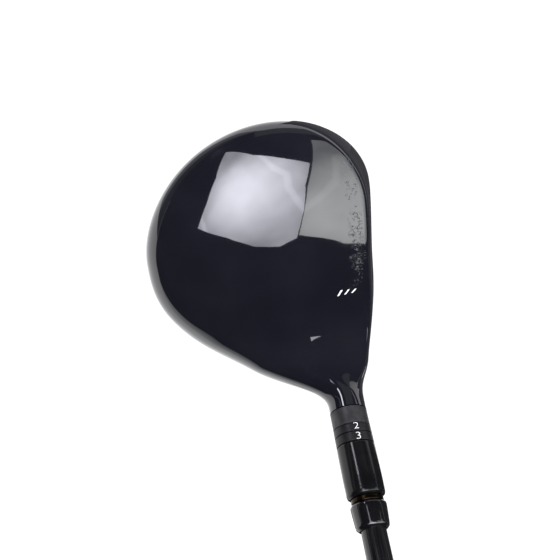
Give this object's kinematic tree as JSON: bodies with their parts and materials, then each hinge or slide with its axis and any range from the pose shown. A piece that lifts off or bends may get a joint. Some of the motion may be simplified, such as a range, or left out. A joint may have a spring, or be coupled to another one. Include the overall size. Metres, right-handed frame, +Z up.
{
  "type": "fairway wood",
  "caption": "Left-handed fairway wood golf club: hollow gloss head, adjustable hosel sleeve held by a bolt, tapered shaft with rubber grip, screw-in sole weight.",
  "frame": {"origin": "centre of the flat at the bottom of the sole, where the head rests at address", "axes": "+X toward the target, out of the face; +Y toward the toe; +Z up. The shaft leans toward -Y at the lie angle of 57 degrees"},
  "size_m": [0.0886, 0.6748, 0.9223],
  "materials": {
    "gloss_paint": "high-gloss black paint with a faint blue cast under clear coat, on cast steel",
    "crown_paint": "high-gloss black paint with a faint blue cast under clear coat, on the thin crown",
    "face_satin": "dark satin face with fine brushed grain and shallow score lines",
    "inner_steel": "as-cast steel inside the head, machined where it seats",
    "slot_rubber": "soft matte polymer flush in the slot",
    "badge_metal": "satin anodised plate, brushed along its length",
    "bolt_steel": "zinc-plated machine steel",
    "black_polymer": "moulded black nylon",
    "collar_satin": "satin black anodised collar",
    "ring_satin": "satin black anodised ring with white index marks",
    "sleeve_satin": "semi-gloss black anodised sleeve, finely turned",
    "trim_brass": "thin turned brass-coloured ring",
    "ferrule_gloss": "polished black ferrule",
    "shaft_paint": "gloss black paint over wound carbon fibre",
    "grip_tape": "paper-backed tape",
    "grip_rubber": "matte rubber with a fine raised pattern",
    "cap_rubber": "smooth matte rubber",
    "white_ink": "white filled position numbers on the rings and the small aiming mark on the crown",
    "weight_metal": "satin turned metal with a hex socket"
  },
  "bodies": {
    "head": {"body_shell": "gloss_paint", "crown_shell": "crown_paint", "face_plate": "face_satin", "hosel_tube": "inner_steel", "rear_weight_pad": "inner_steel", "toe_rib": "inner_steel", "heel_rib": "inner_steel", "slot_filler": "slot_rubber", "sole_badge": "badge_metal", "bolt_washer": "bolt_steel", "bolt_retainer": "black_polymer", "hosel_collar": "collar_satin"},
    "bolt": {"hosel_bolt": "bolt_steel"},
    "upper_ring": {"upper_ring": "ring_satin"},
    "shaft_assembly": {"adapter_sleeve": "sleeve_satin", "sleeve_insert": "inner_steel", "trim_ring": "trim_brass", "ferrule": "ferrule_gloss", "shaft": "shaft_paint", "tip_plug": "black_polymer", "grip_tape": "grip_tape", "grip": "grip_rubber", "grip_cap": "cap_rubber"},
    "lower_ring": {"lower_ring": "ring_satin"},
    "weight_seal": {"weight_washer": "black_polymer"},
    "weight": {"weight_screw": "weight_metal"}
  },
  "joints": [
    {"name": "bolt_turn", "type": "hinge", "parent": "head", "child": "bolt", "pos_m": [0, -0.022, 0], "axis": [0, 0.5446, -0.8387], "range_deg": [0, 2160]},
    {"name": "upper_ring_turn", "type": "hinge", "parent": "head", "child": "upper_ring", "pos_m": [0, -0.022, 0], "axis": [0, -0.5446, 0.8387], "range_deg": [0, 270]},
    {"name": "sleeve_lift", "type": "slide", "parent": "upper_ring", "child": "shaft_assembly", "axis": [0, -0.5446, 0.8387], "range_m": [0, 0.0048]},
    {"name": "lower_ring_turn", "type": "hinge", "parent": "shaft_assembly", "child": "lower_ring", "pos_m": [0, -0.022, 0], "axis": [0, -0.5446, 0.8387], "range_deg": [0, 270]},
    {"name": "weight_out", "type": "slide", "parent": "head", "child": "weight_seal", "axis": [-0.225, 0, -0.9744], "range_m": [0, 0.005]},
    {"name": "weight_turn", "type": "hinge", "parent": "weight_seal", "child": "weight", "pos_m": [-0.046, 0, 0.00493], "axis": [-0.225, 0, -0.9744], "range_deg": [0, 1800]}
  ],
  "couplings": [
    {"joint": "bolt_turn", "follows": "sleeve_lift", "rad_per_m": 7854},
    {"joint": "weight_turn", "follows": "weight_out", "rad_per_m": 6283.2}
  ]
}
